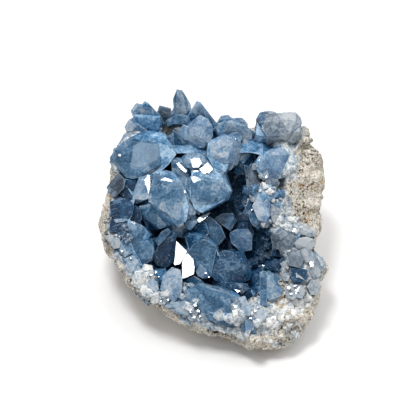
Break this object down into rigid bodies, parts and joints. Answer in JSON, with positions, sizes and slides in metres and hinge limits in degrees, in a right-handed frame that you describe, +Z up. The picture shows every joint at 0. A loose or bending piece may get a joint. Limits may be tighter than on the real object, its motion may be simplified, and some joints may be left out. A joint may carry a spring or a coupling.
{
  "type": "celestite geode",
  "caption": "Broken celestite geode: a rough rock rind around an open hollow, lined with one crust of pale blue blocky crystals, resting on a small flat spot.",
  "frame": {"origin": "under the middle of the bounding box, on the surface that the geode rests on", "axes": "+Z up, +X to the right and -Y towards someone who looks into the hollow; the hollow's opening leans about 27 degrees towards -Y"},
  "size_m": [0.092, 0.0966, 0.064],
  "materials": {
    "rind_rock": "rough weathered limestone with pits and ochre stains",
    "celestite": "polished crystal faces, clear to milky blue"
  },
  "bodies": {
    "root": {"rock_rind": "rind_rock", "crystal_crust": "celestite"}
  },
  "joints": []
}
